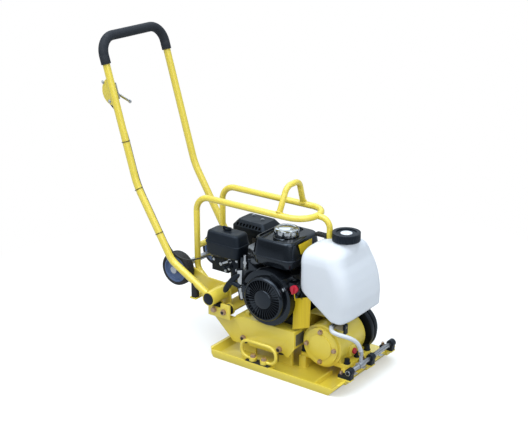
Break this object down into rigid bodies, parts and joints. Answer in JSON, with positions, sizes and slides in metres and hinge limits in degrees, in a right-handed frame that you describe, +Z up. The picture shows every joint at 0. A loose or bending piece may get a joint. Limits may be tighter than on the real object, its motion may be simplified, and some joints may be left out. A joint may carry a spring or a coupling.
{
  "type": "plate compactor",
  "caption": "Petrol plate compactor with folding handle, tube cage, transport wheels, water tank and sprinkler bar.",
  "frame": {"origin": "middle of the flat sole of the base plate, on the ground", "axes": "+X forward towards the sprinkler bar, +Y towards the belt side, +Z up"},
  "size_m": [1.0065, 0.352, 1.0305],
  "materials": {
    "yellow_paint": "gloss",
    "black_paint": "satin",
    "black_plastic": "matte",
    "rubber": "matte",
    "tyre_rubber": "matte",
    "grip_foam": "matte",
    "zinc_steel": "satin",
    "bright_chrome": "polished",
    "bare_aluminium": "cast",
    "dark_iron": "matte",
    "red_plastic": "gloss",
    "white_plastic": "satin",
    "clear_hose": "gloss",
    "slate_plastic": "satin",
    "tap_brass": "satin"
  },
  "bodies": {
    "frame": {"base_plate": "yellow_paint", "side_loops": "yellow_paint", "rubber_isolators": "rubber", "frame_bolts": "zinc_steel", "exciter_housing": "yellow_paint", "exciter_end_cover": "yellow_paint", "exciter_pulley_cover": "yellow_paint", "exciter_bearings": "zinc_steel", "exciter_mount_bolts": "black_plastic", "exciter_oil_plug": "red_plastic", "engine_deck": "yellow_paint", "crankcase": "black_paint", "cylinder_head": "bare_aluminium", "drive_belt": "rubber", "belt_guard": "black_paint", "fan_cover": "black_paint", "recoil_cover": "black_paint", "fuel_tank": "black_paint", "air_cleaner_base": "black_plastic", "air_cleaner_cover": "black_plastic", "carburettor": "bare_aluminium", "muffler": "dark_iron", "muffler_guard": "black_paint", "cage_rails": "yellow_paint", "lifting_hoop": "yellow_paint", "cage_struts": "yellow_paint", "handle_carrier": "yellow_paint", "handle_buffers": "rubber", "wheel_axle": "zinc_steel", "water_tank": "white_plastic", "water_tap": "tap_brass", "water_hose": "clear_hose", "sprinkler_bar": "zinc_steel", "bar_clamps": "black_plastic", "cable_span": "rubber"},
    "handle": {"handle_tube": "yellow_paint", "pivot_tube": "yellow_paint", "pivot_caps": "black_plastic", "handle_grip": "grip_foam", "throttle_plate": "yellow_paint", "throttle_cable": "rubber"},
    "throttle": {"throttle_lever": "zinc_steel"},
    "control": {"control_lever": "zinc_steel"},
    "starter": {"starter_grip": "black_plastic"},
    "crank": {"crankshaft": "zinc_steel"},
    "clutch": {"clutch_drum": "zinc_steel"},
    "exciter_rotor": {"exciter_shaft": "zinc_steel", "exciter_pulley": "black_paint"},
    "fuel_filler_cap": {"fuel_cap": "bright_chrome"},
    "tank_filler_cap": {"tank_cap": "black_plastic"},
    "switch": {"engine_switch": "red_plastic"},
    "choke": {"choke_lever": "zinc_steel"},
    "fuel_valve": {"fuel_lever": "black_plastic"},
    "tap": {"tap_lever": "black_plastic"},
    "air_nut": {"air_cleaner_nut": "black_plastic"},
    "dipstick": {"oil_dipstick": "bare_aluminium"},
    "wheel_near": {"hub_near": "slate_plastic", "tyre_near": "tyre_rubber"},
    "wheel_far": {"hub_far": "slate_plastic", "tyre_far": "tyre_rubber"}
  },
  "joints": [
    {"name": "handle_fold", "type": "hinge", "parent": "frame", "child": "handle", "pos_m": [-0.249, 0, 0.203], "axis": [0, 1, 0], "range_deg": [0, 95]},
    {"name": "throttle_turn", "type": "hinge", "parent": "handle", "child": "throttle", "pos_m": [-0.6776, -0.135, 0.8412], "axis": [0, -1, 0], "range_deg": [0, 50]},
    {"name": "control_turn", "type": "hinge", "parent": "frame", "child": "control", "pos_m": [-0.133, -0.122, 0.344], "axis": [0, -1, 0], "range_deg": [0, 40]},
    {"name": "starter_pull", "type": "slide", "parent": "frame", "child": "starter", "axis": [-0.8004, -0.5003, 0.3302], "range_m": [0, 0.55], "stiffness_N_per_m": 12},
    {"name": "crank_spin", "type": "hinge", "parent": "frame", "child": "crank", "pos_m": [-0.036, 0, 0.252], "axis": [0, 1, 0], "continuous": true},
    {"name": "clutch_spin", "type": "hinge", "parent": "frame", "child": "clutch", "pos_m": [-0.036, 0.111, 0.252], "axis": [0, 1, 0], "continuous": true},
    {"name": "exciter_spin", "type": "hinge", "parent": "frame", "child": "exciter_rotor", "pos_m": [0.143, 0, 0.112], "axis": [0, 1, 0], "continuous": true},
    {"name": "fuel_cap_turn", "type": "hinge", "parent": "frame", "child": "fuel_filler_cap", "pos_m": [-0.024, -0.044, 0.44], "axis": [0, 0, 1], "range_deg": [0, 120]},
    {"name": "tank_cap_turn", "type": "hinge", "parent": "frame", "child": "tank_filler_cap", "pos_m": [0.172, 0, 0.442], "axis": [0, 0, 1], "range_deg": [0, 360]},
    {"name": "switch_turn", "type": "hinge", "parent": "frame", "child": "switch", "pos_m": [0.066, -0.126, 0.304], "axis": [0, 1, 0], "range_deg": [0, 60]},
    {"name": "choke_turn", "type": "hinge", "parent": "frame", "child": "choke", "pos_m": [-0.206, -0.107, 0.328], "axis": [0, 1, 0], "range_deg": [0, 25]},
    {"name": "fuel_valve_turn", "type": "hinge", "parent": "frame", "child": "fuel_valve", "pos_m": [-0.204, -0.107, 0.308], "axis": [0, -1, 0], "range_deg": [0, 70]},
    {"name": "tap_turn", "type": "hinge", "parent": "frame", "child": "tap", "pos_m": [0.221, -0.075, 0.195], "axis": [1, 0, 0], "range_deg": [0, 90]},
    {"name": "air_nut_turn", "type": "hinge", "parent": "frame", "child": "air_nut", "pos_m": [-0.226, -0.094, 0.427], "axis": [0, 0, 1], "range_deg": [0, 360]},
    {"name": "dipstick_turn", "type": "hinge", "parent": "frame", "child": "dipstick", "pos_m": [-0.108, -0.05, 0.19], "axis": [-0.866, 0, 0.5], "range_deg": [0, 360]},
    {"name": "wheel_near_spin", "type": "hinge", "parent": "frame", "child": "wheel_near", "pos_m": [-0.427, -0.109, 0.252], "axis": [0, 1, 0], "continuous": true},
    {"name": "wheel_far_spin", "type": "hinge", "parent": "frame", "child": "wheel_far", "pos_m": [-0.427, 0.109, 0.252], "axis": [0, 1, 0], "continuous": true}
  ],
  "couplings": [
    {"joint": "control_turn", "follows": "throttle_turn", "ratio": 0.8},
    {"joint": "exciter_spin", "follows": "clutch_spin", "ratio": 1.5152}
  ]
}
